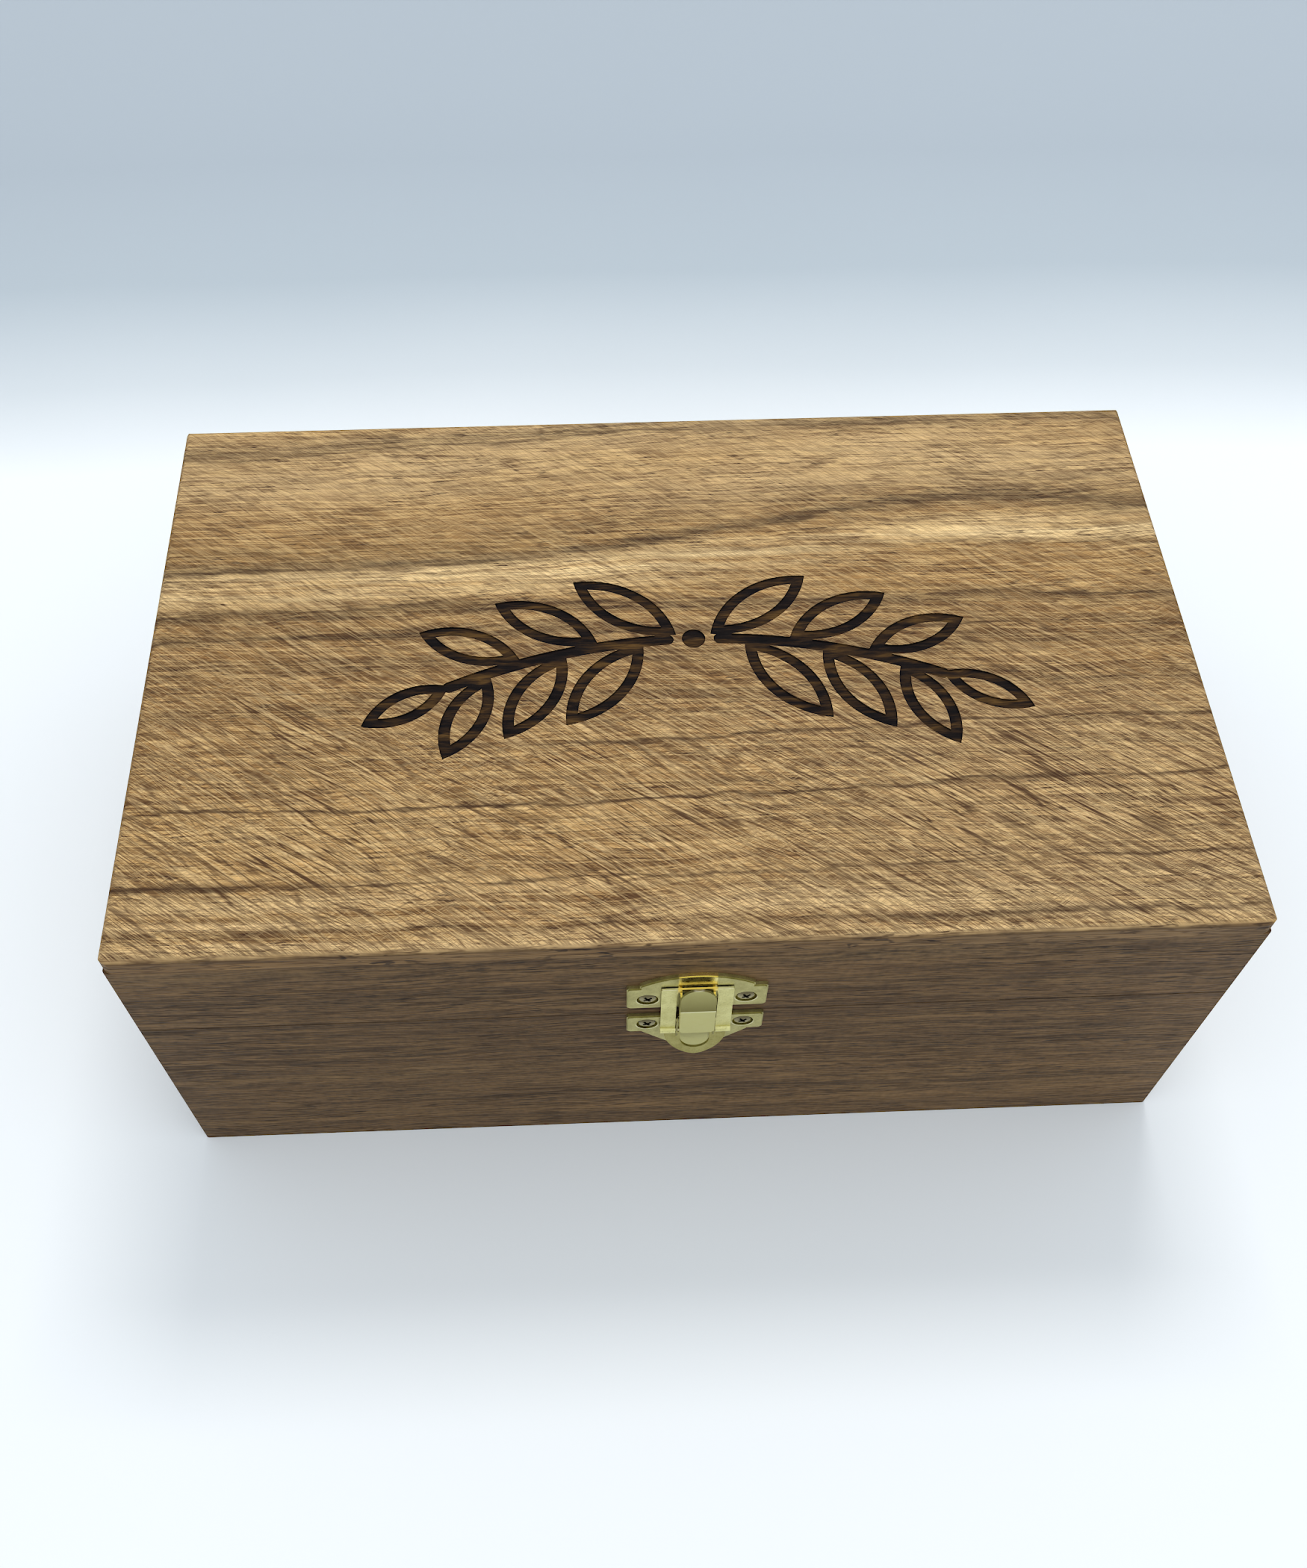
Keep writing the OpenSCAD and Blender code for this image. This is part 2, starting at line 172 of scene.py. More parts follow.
def grain_axes(g, along, seed):
    """Board coordinates in metres: u along the grain, v across it on the face, w into the board."""
    x, y, z = g.split(g.coord())
    u, v, w = {"x_top": (x, y, z), "x": (x, z, y), "y": (y, z, x)}[along]
    # slow waviness of the grain
    drift = g.noise(g.join(g.mul(u, 7.0), g.mul(v, 16.0), g.add(g.mul(w, 6.0), seed)), 1.0, 2.0, 0.5)
    v2 = g.add(v, g.mul(g.m("SUBTRACT", drift, 0.5), 0.012))
    fine = g.noise(g.join(g.mul(u, 45.0), g.mul(v, 70.0), g.add(g.mul(w, 40.0), seed + 3.1)), 1.0, 2.0, 0.5)
    v3 = g.add(v2, g.mul(g.m("SUBTRACT", fine, 0.5), 0.0016))
    return x, y, z, u, v, w, v2, v3


def streaks(g, u, v, w, seed, su, sv, lo, hi, detail=3.0, rough=0.6):
    n = g.noise(g.join(g.mul(u, su), g.mul(v, sv), g.add(g.mul(w, sv * 0.35), seed)), 1.0, detail, rough)
    return g.span(n, lo, hi)


def ridge(g, n, at, half):
    """Thin lines along which a noise passes through one value."""
    return g.span(g.m("ABSOLUTE", g.m("SUBTRACT", n, at)), 0.0, half, 1.0, 0.0, smooth=True)


def saw(g, x, y, ang, seed, su, sv, detail=1.0):
    """Noise drawn out along one angle on the top face, read as long straight scratches."""
    c, s = math.cos(ang), math.sin(ang)
    p = g.add(g.mul(x, c), g.mul(y, s))
    q = g.add(g.mul(x, -s), g.mul(y, c))
    wob = g.noise(g.join(g.mul(p, 26.0), g.mul(q, 30.0), seed), 1.0, 1.0, 0.5)
    q = g.add(q, g.mul(g.m("SUBTRACT", wob, 0.5), 0.004))
    return g.noise(g.join(g.mul(p, su), g.mul(q, sv), seed + 0.7), 1.0, detail, 0.5)


# ---------------------------------------------------------------- wood
def wood_top():
    g = Graph("wood_top")
    x, y, z, u, v, w, v2, v3 = grain_axes(g, "x_top", 1.7)

    # broad tone of the board
    broad = g.noise(g.join(g.mul(u, 3.0), g.mul(v2, 55.0), 4.0), 1.0, 3.0, 0.55)
    medium = g.noise(g.join(g.mul(u, 9.0), g.mul(v3, 260.0), g.mul(w, 260.0)), 1.0, 3.0, 0.6)
    tone = g.add(g.mul(broad, 0.60), g.mul(medium, 0.40))
    col = g.ramp(g.span(tone, 0.32, 0.68), [
        (0.0, lin(138, 102, 60)), (0.35, lin(160, 123, 76)), (0.65, lin(176, 139, 89)), (1.0, lin(196, 159, 106))])

    # dark growth bands, in place across the board
    wob = g.mul(g.m("SUBTRACT", g.noise(g.join(g.mul(x, 22.0), g.mul(y, 30.0), 9.0), 1.0, 3.0, 0.55), 0.5), 0.006)
    jit = g.mul(g.m("SUBTRACT", g.noise(g.join(g.mul(x, 150.0), g.mul(y, 420.0), 19.0), 1.0, 2.0, 0.6), 0.5), 0.0026)
    yw = g.add(y, wob, jit)
    broken = g.span(g.noise(g.join(g.mul(x, 26.0), g.mul(y, 620.0), 2.0), 1.0, 3.0, 0.65), 0.34, 0.62)

    def step(a, b, h):
        return g.span(x, a, b, 0.0, h, smooth=True)

    # middle third a shade browner than the rest
    mid = g.mul(g.span(y, 0.020, 0.010, 0.0, 1.0, smooth=True), g.span(y, -0.020, -0.034, 1.0, 0.25, smooth=True))
    col = g.mix(g.mul(mid, g.add(0.16, g.mul(broken, 0.34))), col, lin(116, 82, 48))

    lines = [
        (g.add(0.0675, step(-0.11, 0.03, 0.0065)), 0.0048, 0.66),
        (g.add(0.0290, step(-0.055, 0.085, 0.0175), step(0.088, 0.12, -0.0045)), g.span(x, 0.04, 0.09, 0.0036, 0.0062), 0.95),
        (g.add(0.0330, step(-0.08, 0.085, 0.0185), step(0.088, 0.12, -0.0045)), 0.0070, 0.34),
        (g.add(0.0262, step(-0.10, -0.02, 0.004)), 0.0022, 0.30),
        (g.add(0.0142, step(-0.12, 0.12, -0.001)), 0.0036, g.span(x, -0.03, 0.06, 0.92, 0.60)),
        (g.add(0.0070, step(-0.12, 0.12, -0.0015)), 0.0030, g.span(x, -0.06, 0.04, 0.85, 0.40)),
        (g.add(-0.0020, step(-0.12, 0.12, 0.002)), 0.0040, 0.46),
        (g.add(-0.0145, step(-0.12, 0.12, 0.003)), 0.0036, 0.42),
    ]
    dark = None
    for centre, half, strength in lines:
        b = g.mul(g.near(yw, centre, half), strength)
        dark = b if dark is None else g.m("MAXIMUM", dark, b)
    thin = [
        (g.add(0.0283, step(-0.055, 0.085, 0.0175), step(0.088, 0.12, -0.0045)), 0.0009, 0.60),
        (g.add(0.0655, step(-0.11, 0.03, 0.0075)), 0.0007, 0.50),
        (g.add(0.0150, step(-0.12, 0.12, -0.001)), 0.0008, 0.70),
        (g.add(0.0062, step(-0.12, 0.12, -0.0015)), 0.0007, 0.60),
        (g.add(-0.0100, step(-0.12, 0.12, 0.0015)), 0.0006, 0.45),
        (g.add(-0.0257, step(-0.02, 0.12, 0.0035)), 0.0009, g.span(x, -0.07, 0.0, 0.45, 0.90)),
        (g.add(-0.0413, step(-0.05, 0.12, 0.0037)), 0.0008, 0.95),
        (g.add(-0.0590, step(-0.12, -0.06, -0.0010), step(0.02, 0.12, 0.0020)), 0.0007, 0.85),
        (g.add(-0.0705, step(-0.12, 0.12, -0.0010)), 0.0012, g.span(x, -0.03, 0.04, 0.35, 0.78)),
        # dark smear near the front left, fading out to the right
        (-0.0592, 0.0017, g.span(x, -0.115, -0.045, 1.2, 0.0, smooth=True)),
    ]
    hair = None
    for centre, half, strength in thin:
        b = g.mul(g.near(yw, centre, half), strength)
        hair = b if hair is None else g.m("MAXIMUM", hair, b)
    darkb = g.mul(dark, g.span(broken, 0.0, 1.0, 0.40, 1.0))
    col = g.mix(g.m("MINIMUM", g.mul(darkb, 0.95), 0.92), col, lin(86, 57, 32))
    # greyish cast of the back third
    grey = g.mul(g.span(y, 0.033, 0.056, 0.0, 0.66, smooth=True), g.span(g.noise(g.join(g.mul(x, 12.0), g.mul(y, 60.0), 5.0), 1.0, 2.0, 0.5), 0.30, 0.60, 0.35, 1.0))
    col = g.mix(grey, col, lin(206, 177, 136))
    # pale golden belt in front of the curved band
    belt = g.mul(g.near(yw, g.add(0.0228, step(-0.06, 0.09, 0.0110)), 0.0090), 0.90)
    col = g.mix(g.mul(belt, g.span(medium, 0.34, 0.58)), col, lin(250, 220, 170))
    front = g.mul(g.span(y, -0.056, -0.068, 0.0, 0.70, smooth=True), g.span(medium, 0.38, 0.60))
    col = g.mix(front, col, lin(228, 196, 148))
    cast = g.mul(g.span(x, -0.02, 0.07, 0.0, 0.30, smooth=True), g.span(y, 0.0, -0.03, 0.0, 1.0, smooth=True))
    col = g.mix(cast, col, lin(186, 160, 124))

    # fine grain: soft tonal streaks, then thin dark lines with a painted highlight along the raised side of each
    n1 = g.noise(g.join(g.mul(u, 24.0), g.mul(v3, 520.0), g.add(g.mul(w, 520.0), 71.0)), 1.0, 2.0, 0.55)
    n2 = g.noise(g.join(g.mul(u, 60.0), g.mul(v3, 1100.0), g.add(g.mul(w, 1100.0), 77.0)), 1.0, 1.0, 0.5)
    calm = g.span(y, 0.028, 0.046, 1.0, 0.66, smooth=True)
    col = g.scale(col, g.vary((n1, g.mul(calm, 0.98)), (n2, g.mul(calm, 0.92))))
    where = g.span(g.noise(g.join(g.mul(u, 30.0), g.mul(v, 160.0), 31.0), 1.0, 2.0, 0.5), 0.38, 0.58)
    f1 = g.noise(g.join(g.mul(u, 26.0), g.mul(v3, 560.0), g.add(g.mul(w, 560.0), 6.2)), 1.0, 1.0, 0.5)
    f2 = g.noise(g.join(g.mul(u, 60.0), g.mul(v3, 900.0), g.add(g.mul(w, 900.0), 16.2)), 1.0, 1.0, 0.5)
    fib = g.m("MAXIMUM", g.mul(ridge(g, f1, 0.50, 0.050), g.span(where, 0.0, 1.0, 0.25, 1.0)), g.mul(ridge(g, f2, 0.45, 0.055), 0.75))
    fib_highlight = g.m("MAXIMUM", ridge(g, f1, 0.585, 0.055), g.mul(ridge(g, f2, 0.56, 0.06), 0.8))
    # painted highlight: pale lines beside the dark fibres, standing in for light on their raised edges
    col = g.mix(g.mul(fib_highlight, 0.52), col, lin(226, 190, 134))
    col = g.mix(g.mul(fib, 0.74), col, lin(88, 58, 34))
    # open pores, short dark dashes
    pore = streaks(g, u, v3, w, 21.0, 190.0, 1700.0, 0.60, 0.66, 2.0, 0.6)
    pore = g.mul(pore, g.span(where, 0.0, 1.0, 0.30, 1.0))
    col = g.mix(g.mul(pore, 0.82), col, lin(60, 38, 23))

    # saw scratches, running down to the right, with a weaker set across them; each dark scratch gets a painted
    # highlight beside it
    patch = g.span(g.noise(g.join(g.mul(x, 30.0), g.mul(y, 36.0), 41.0), 1.0, 2.0, 0.6), 0.34, 0.62)
    fwd = g.span(y, 0.045, -0.030, 0.50, 1.0)
    a1 = math.radians(-36.0)
    s1 = saw(g, x, y, a1, 3.3, 36.0, 690.0)
    s2 = saw(g, x, y, a1 - 0.05, 8.8, 66.0, 1200.0)
    s3 = saw(g, x, y, a1 + 0.09, 14.1, 40.0, 780.0)
    s4 = saw(g, x, y, math.radians(33.0), 18.6, 70.0, 1000.0)
    s5 = saw(g, x, y, math.radians(-52.0), 34.6, 70.0, 1000.0)
    one = g.span(patch, 0.0, 1.0, 0.50, 0.95)
    two = g.m("SUBTRACT", 1.05, g.mul(patch, 0.55))
    cut = g.m("MAXIMUM", g.mul(ridge(g, s1, 0.50, 0.040), one), g.mul(ridge(g, s2, 0.47, 0.045), 0.62))
    cut = g.m("MAXIMUM", cut, g.mul(ridge(g, s3, 0.52, 0.042), two, 0.85))
    cut = g.m("MAXIMUM", cut, g.mul(ridge(g, s4, 0.50, 0.050), two, 0.42))
    cut = g.m("MAXIMUM", cut, g.mul(ridge(g, s5, 0.50, 0.050), 0.36))
    lift_highlight = g.m("MAXIMUM", g.mul(ridge(g, s1, 0.575, 0.050), one), g.mul(ridge(g, s3, 0.595, 0.05), two, 0.8))
    lift_highlight = g.m("MAXIMUM", lift_highlight, g.mul(ridge(g, s2, 0.55, 0.055), 0.6))
    lift_highlight = g.m("MAXIMUM", lift_highlight, g.mul(ridge(g, s4, 0.58, 0.06), two, 0.5))
    top_face = g.mul(g.span(z, H - 0.0006, H - 0.0001), fwd)
    cut = g.mul(cut, top_face)
    lift_highlight = g.mul(lift_highlight, top_face)
    # painted highlight along the raised edge of each saw scratch
    col = g.mix(g.m("MINIMUM", g.mul(lift_highlight, 0.58), 0.7), col, lin(236, 206, 156))
    col = g.mix(g.m("MINIMUM", g.mul(cut, 0.98), 0.92), col, lin(68, 43, 26))
    # the growth bands and lines show through all of the finer marks
    col = g.scale(col, g.m("SUBTRACT", 1.0, g.mul(darkb, 0.46)))
    col = g.mix(g.m("MINIMUM", g.mul(hair, g.span(broken, 0.0, 1.0, 0.40, 1.0)), 0.90), col, lin(60, 37, 20))
    col = g.tint(col, (1.04, 1.00, 0.90))

    # thumb of darker dirt along the outer edges
    ex = g.m("SUBTRACT", W / 2, g.m("ABSOLUTE", x))
    ey = g.m("SUBTRACT", D / 2, g.m("ABSOLUTE", y))
    edge = g.span(g.m("MINIMUM", ex, ey), 0.0003, 0.0012, 1.0, 0.0, smooth=True)
    upper = g.span(z, H - 0.0022, H - 0.0010)
    edge = g.mul(edge, upper)
    edge_n = g.span(g.noise(g.join(g.mul(x, 160.0), g.mul(y, 160.0), 3.0), 1.0, 3.0, 0.6), 0.35, 0.65, 0.35, 1.0)
    col = g.mix(g.mul(edge, edge_n, 0.66), col, lin(78, 53, 34))

    # side faces of the board read like the walls below them
    below = g.span(z, H - 0.0014, H - 0.0005, 1.0, 0.0, smooth=True)
    col = g.mix(below, col, g.tint(col, (0.30, 0.262, 0.225)))

    # burnt engraving: everything sunk below the face inside the ornament's area
    inx = g.span(g.m("ABSOLUTE", g.m("SUBTRACT", x, 0.005)), 0.101, 0.102, 1.0, 0.0)
    iny = g.span(g.m("ABSOLUTE", g.m("SUBTRACT", y, -0.006)), 0.056, 0.057, 1.0, 0.0)
    sunk = g.mul(g.span(z, H - 0.00012, H - 0.00003, 1.0, 0.0), g.span(z, H - 0.002, H - 0.0019, 0.0, 1.0))
    burn = g.mul(inx, iny, sunk)
    char_n = g.noise(g.join(g.mul(x, 60.0), g.mul(yw, 420.0), 51.0), 1.0, 3.0, 0.6)
    char_f = g.noise(g.join(g.mul(x, 120.0), g.mul(y, 1900.0), 57.0), 1.0, 2.0, 0.6)
    char = g.ramp(g.span(g.add(g.mul(char_n, 0.72), g.mul(char_f, 0.28)), 0.36, 0.64), [
        (0.0, lin(9, 6, 7)), (0.36, lin(22, 14, 12)), (0.70, lin(56, 38, 20)), (1.0, lin(92, 66, 32))])
    col = g.mix(burn, col, char)

    g.put(g.bsdf.inputs["Base Color"], col)
    rough = g.add(0.50, g.mul(fib, 0.10), g.mul(cut, 0.16), g.mul(burn, 0.35))
    g.put(g.bsdf.inputs["Roughness"], rough)
    g.bsdf.inputs["Specular IOR Level"].default_value = 0.15
    h = g.add(g.mul(fib, -0.30), g.mul(fib_highlight, 0.22), g.mul(pore, -0.55), g.mul(cut, -0.70), g.mul(lift_highlight, 0.35), g.mul(medium, 0.35))
    g.put(g.bsdf.inputs["Normal"], g.bump(h, 0.00014, 0.80))
    return g.mat


def wood_wall(name, along, seed, front=False, dim=1.0):
    """Planed wall boards: fine level grain, grey-brown."""
    g = Graph(name)
    x, y, z, u, v, w, v2, v3 = grain_axes(g, along, seed)

    def c(r, gg, b):
        return lin(r * dim, gg * dim, b * dim)

    broad = g.noise(g.join(g.mul(u, 4.0), g.mul(v2, 60.0), g.add(g.mul(w, 60.0), seed)), 1.0, 3.0, 0.55)
    medium = g.noise(g.join(g.mul(u, 14.0), g.mul(v3, 330.0), g.add(g.mul(w, 330.0), seed + 1.0)), 1.0, 3.0, 0.6)
    tone = g.add(g.mul(broad, 0.5), g.mul(medium, 0.5))
    col = g.ramp(g.span(tone, 0.30, 0.70), [
        (0.0, c(94, 75, 59)), (0.35, c(112, 91, 72)), (0.65, c(126, 104, 84)), (1.0, c(146, 122, 99))])
    if front:
        wob = g.mul(g.m("SUBTRACT", g.noise(g.join(g.mul(x, 22.0), g.mul(z, 60.0), seed), 1.0, 3.0, 0.6), 0.5), 0.006)
        zw = g.add(z, wob)
        broken = g.span(g.noise(g.join(g.mul(x, 60.0), g.mul(z, 800.0), 2.0), 1.0, 3.0, 0.65), 0.36, 0.60)

        def step(a, b, h):
            return g.span(x, a, b, 0.0, h, smooth=True)

        lines = [
            (0.0925, 0.0030, 0.38), (0.0755, 0.0040, 0.30),
            (g.add(0.0628, step(-0.12, 0.12, -0.0005)), 0.0026, 0.62),
            (g.add(0.0425, step(-0.11, -0.04, 0.0045), step(0.02, 0.12, -0.0050)), 0.0020, 0.66),
            (g.add(0.0500, step(-0.12, 0.0, -0.002)), 0.0045, 0.26),
            (g.add(0.0225, step(-0.06, 0.10, -0.0022)), 0.0014, 0.46),
            (0.0060, 0.0040, 0.22),
        ]
        dark = None
        for centre, half, strength in lines:
            b = g.mul(g.near(zw, centre, half), strength)
            dark = b if dark is None else g.m("MAXIMUM", dark, b)
        fade = g.span(g.noise(g.join(g.mul(x, 14.0), g.mul(z, 20.0), seed + 6.0), 1.0, 2.0, 0.5), 0.32, 0.60, 0.25, 1.0)
        col = g.mix(g.mul(dark, fade, g.span(broken, 0.0, 1.0, 0.35, 1.0)), col, c(62, 48, 38))
        pale = g.mul(g.m("MAXIMUM", g.near(zw, 0.0880, 0.0042), g.mul(g.near(zw, 0.0370, 0.0060), g.span(x, -0.06, 0.0, 1.0, 0.25, smooth=True))), 0.38)
        col = g.mix(g.mul(pale, g.span(medium, 0.4, 0.6)), col, c(156, 134, 110))

    n1 = g.noise(g.join(g.mul(u, 26.0), g.mul(v3, 560.0), g.add(g.mul(w, 560.0), seed + 71.0)), 1.0, 2.0, 0.55)
    n2 = g.noise(g.join(g.mul(u, 70.0), g.mul(v3, 1150.0), g.add(g.mul(w, 1150.0), seed + 77.0)), 1.0, 1.0, 0.5)
    n3 = g.noise(g.join(g.mul(u, 5.0), g.mul(v2, 120.0), g.add(g.mul(w, 120.0), seed + 79.0)), 1.0, 2.0, 0.6)
    n4 = g.noise(g.join(g.mul(x, 700.0), g.mul(y, 700.0), g.mul(z, 700.0)), 1.0, 1.0, 0.5)
    col = g.scale(col, g.vary((n1, 0.92), (n2, 0.92), (n3, 0.66), (n4, 0.90)))
    where = g.span(g.noise(g.join(g.mul(u, 26.0), g.mul(v, 90.0), seed + 2.0), 1.0, 2.0, 0.5), 0.38, 0.60)
    f1 = g.noise(g.join(g.mul(u, 30.0), g.mul(v3, 520.0), g.add(g.mul(w, 520.0), seed + 5.0)), 1.0, 1.0, 0.5)
    f2 = g.noise(g.join(g.mul(u, 65.0), g.mul(v3, 900.0), g.add(g.mul(w, 900.0), seed + 9.0)), 1.0, 1.0, 0.5)
    fib = g.m("MAXIMUM", g.mul(ridge(g, f1, 0.50, 0.050), g.span(where, 0.0, 1.0, 0.35, 1.0)), g.mul(ridge(g, f2, 0.45, 0.055), 0.70))
    fib_highlight = g.m("MAXIMUM", ridge(g, f1, 0.585, 0.055), g.mul(ridge(g, f2, 0.56, 0.06), 0.8))
    # painted highlight: pale lines beside the dark fibres, standing in for light on their raised edges
    col = g.mix(g.mul(fib_highlight, 0.34), col, c(168, 142, 112))
    col = g.mix(g.mul(fib, 0.62), col, c(66, 50, 36))
    pore = streaks(g, u, v3, w, seed + 15.0, 170.0, 1700.0, 0.60, 0.67, 1.0, 0.5)
    pore = g.mul(pore, g.span(where, 0.0, 1.0, 0.3, 1.0))
    col = g.mix(g.mul(pore, 0.72), col, c(42, 31, 23))
    col = g.tint(col, (0.61, 0.505, 0.30))
    if front:
        col = g.scale(col, g.span(x, -0.12, 0.12, 0.92, 1.08))

    # darker along the parting line, the vertical corners and the foot
    ez = g.m("ABSOLUTE", g.m("SUBTRACT", z, SPLIT))
    seam = g.span(ez, 0.00010, 0.00075, 1.0, 0.0, smooth=True)
    ex = g.m("SUBTRACT", W / 2, g.m("ABSOLUTE", x))
    ey = g.m("SUBTRACT", D / 2, g.m("ABSOLUTE", y))
    corner = g.span(g.m("MAXIMUM", ex, ey), 0.0, 0.0013, 1.0, 0.0, smooth=True)
    foot = g.span(z, 0.0, 0.0012, 1.0, 0.0, smooth=True)
    darker_edges = g.m("MAXIMUM", g.mul(seam, 0.45), g.m("MAXIMUM", g.mul(corner, 0.6), g.mul(foot, 0.6)))
    dn = g.span(g.noise(g.join(g.mul(x, 220.0), g.mul(y, 220.0), g.mul(z, 220.0)), 1.0, 3.0, 0.6), 0.35, 0.62, 0.35, 1.0)
    col = g.mix(g.mul(darker_edges, dn), col, c(40, 30, 22))

    g.put(g.bsdf.inputs["Base Color"], col)
    g.put(g.bsdf.inputs["Roughness"], g.add(0.56, g.mul(fib, 0.12)))
    g.bsdf.inputs["Specular IOR Level"].default_value = 0.18
    h = g.add(g.mul(fib, -0.5), g.mul(fib_highlight, 0.35), g.mul(pore, -0.7), g.mul(medium, 0.4))
    g.put(g.bsdf.inputs["Normal"], g.bump(h, 0.00012, 0.75))
    return g.mat


# ---------------------------------------------------------------- metal
def plated(name, base, dark, light, rough, scale=1.0, gold_interreflection=None, hook_reflection_col=None, bar_gold_reflection=None, shade_heads=False):
    """Thin brass plating on pressed sheet: satin, faintly brushed, spotted and scratched."""
    g = Graph(name)
    p = g.coord()
    x, y, z = g.split(p)
    cloud = g.noise(p, 420.0 * scale, 3.0, 0.6)
    grainy = g.noise(p, 2600.0 * scale, 2.0, 0.6)
    brush = g.noise(g.join(g.mul(x, 900.0), g.mul(y, 900.0), g.mul(z, 4200.0)), 1.0, 2.0, 0.6)
    col = g.mix(g.span(cloud, 0.32, 0.68), base, light)
    col = g.mix(g.span(grainy, 0.52, 0.80, 0.0, 0.45), col, dark)
    scr = g.noise(g.join(g.mul(g.add(x, g.mul(z, 0.7)), 380.0), g.mul(g.m("SUBTRACT", z, g.mul(x, 0.7)), 5200.0), g.mul(y, 300.0)), 1.0, 1.0, 0.5)
    scratch = g.span(scr, 0.68, 0.76)
    col = g.mix(g.mul(scratch, 0.5), col, light)
    ax = g.m("ABSOLUTE", g.m("SUBTRACT", x, 0.0015))
    d = g.m("SUBTRACT", -D / 2, y)
    if bar_gold_reflection is not None:
        # painted reflection: the loop's bar in the middle is coloured gold like the interreflection seen inside the
        # hook
        mid = g.mul(g.span(ax, 0.00415, 0.00435, 1.0, 0.0), g.span(z, SPLIT + 0.0095, SPLIT + 0.0105))
        col = g.mix(mid, col, bar_gold_reflection)
        # painted highlight along the top edges of the loop's side strips
        strip_top_highlight = g.mul(g.span(z, SPLIT + 0.01385, SPLIT + 0.01395), g.m("SUBTRACT", 1.0, mid))
        col = g.mix(g.mul(strip_top_highlight, 0.9), col, lin(250, 246, 212))
    if shade_heads:
        # screw heads: painted shade over the upper part of the dome under the hole's rim, leaving the lower part
        # bright, darker towards the middle, and painted shade in the recessed cross
        for cz in (SPLIT + 0.0084, SPLIT - 0.0037):
            rx = g.m("SUBTRACT", ax, 0.0106)
            rz = g.m("SUBTRACT", z, cz)
            rr = g.m("SQRT", g.add(g.mul(rx, rx), g.mul(rz, rz)))
            here = g.mul(g.span(rr, 0.0019, 0.0021, 1.0, 0.0), g.span(y, -0.0755, -0.0760))
            col = g.mix(g.mul(here, g.span(rz, -0.0010, 0.0012, 0.0, 0.85)), col, dark)
            col = g.mix(g.mul(here, g.span(rr, 0.0009, 0.0004, 0.0, 0.85)), col, dark)
            cut = g.mul(here, g.span(d, 0.00080, 0.00072), g.span(rr, 0.0016, 0.0015))
            col = g.mix(cut, col, lin(30, 25, 14))
    if gold_interreflection is not None:
        # painted reflection of the bright floor: lighter on the hook's lower front and on the plate seen through the
        # lever's window
        floor_reflection = g.m("MAXIMUM", g.mul(g.span(d, 0.0028, 0.0031), g.span(z, 0.0550, 0.0560)),
                   g.mul(g.span(ax, 0.0030, 0.0033, 1.0, 0.0), g.span(z, SPLIT - 0.0035, SPLIT - 0.0045)))
        col = g.mix(floor_reflection, col, hook_reflection_col)
        # painted golden interreflection between the brass walls inside the hook and on the plate just behind it, where
        # the plating is also smoother
        inside = g.mul(g.span(ax, 0.00395, 0.00425, 1.0, 0.0), g.span(z, 0.0747, 0.0752))
        behind = g.span(d, 0.0029, 0.0031, 1.0, 0.0)
        col = g.mix(g.mul(inside, behind), col, gold_interreflection)
        # painted shade on the hook's tip above its crease, with painted highlights along the crease and the top edge
        hook = g.mul(g.span(d, 0.0028, 0.0031), g.span(ax, 0.00385, 0.0040, 1.0, 0.0), g.span(z, 0.0550, 0.0560))
        tip_shade = g.mul(hook, g.span(z, SPLIT + 0.0096, SPLIT + 0.0099))
        col = g.mix(g.mul(tip_shade, g.span(z, SPLIT + 0.0096, SPLIT + 0.0165, 0.88, 0.45)), col, lin(104, 96, 48))
        col = g.mix(g.mul(hook, g.near(z, SPLIT + 0.00955, 0.00028), 0.9), col, lin(246, 244, 206))
        col = g.mix(g.mul(hook, g.span(z, SPLIT + 0.01675, SPLIT + 0.01690), 0.9), col, lin(250, 246, 210))
        # painted shade in the upper part of the screw seats and a painted highlight on their lower rims; darker along
        # the plates' stepped edges
        for cz in (SPLIT + 0.0084, SPLIT - 0.0037):
            rx = g.m("SUBTRACT", ax, 0.0106)
            rz = g.m("SUBTRACT", z, cz)
            rr = g.m("SQRT", g.add(g.mul(rx, rx), g.mul(rz, rz)))
            seat_shade = g.mul(g.span(rr, 0.00236, 0.00246, 1.0, 0.0), g.span(d, 0.0010, 0.00096), g.span(rz, -0.0012, 0.0002))
            col = g.mix(g.mul(seat_shade, 0.92), col, lin(40, 33, 16))
            rim_highlight = g.mul(g.near(rr, 0.00250, 0.00025), g.span(rz, 0.0002, -0.0012), g.span(d, 0.00095, 0.00099), g.span(d, 0.00101, 0.00104, 1.0, 0.0))
            col = g.mix(g.mul(rim_highlight, 0.75), col, lin(246, 244, 206))
        step = g.mul(g.span(d, 0.00070, 0.00074), g.span(d, 0.00092, 0.00097, 1.0, 0.0), g.span(ax, 0.0150, 0.0152, 1.0, 0.0))
        col = g.mix(g.mul(step, 0.20), col, lin(92, 88, 44))
    g.put(g.bsdf.inputs["Base Color"], col)
    g.bsdf.inputs["Metallic"].default_value = 1.0
    r = g.add(rough, g.mul(g.m("SUBTRACT", cloud, 0.5), 0.20), g.mul(g.m("SUBTRACT", brush, 0.5), 0.10))
    if gold_interreflection is not None:
        r = g.m("SUBTRACT", r, g.mul(inside, behind, 0.14))
    g.put(g.bsdf.inputs["Roughness"], r)
    h = g.add(g.mul(cloud, 0.9), g.mul(brush, 0.25), g.mul(grainy, 0.25), g.mul(scratch, -0.4))
    g.put(g.bsdf.inputs["Normal"], g.bump(h, 0.00005, 0.55))
    return g.mat


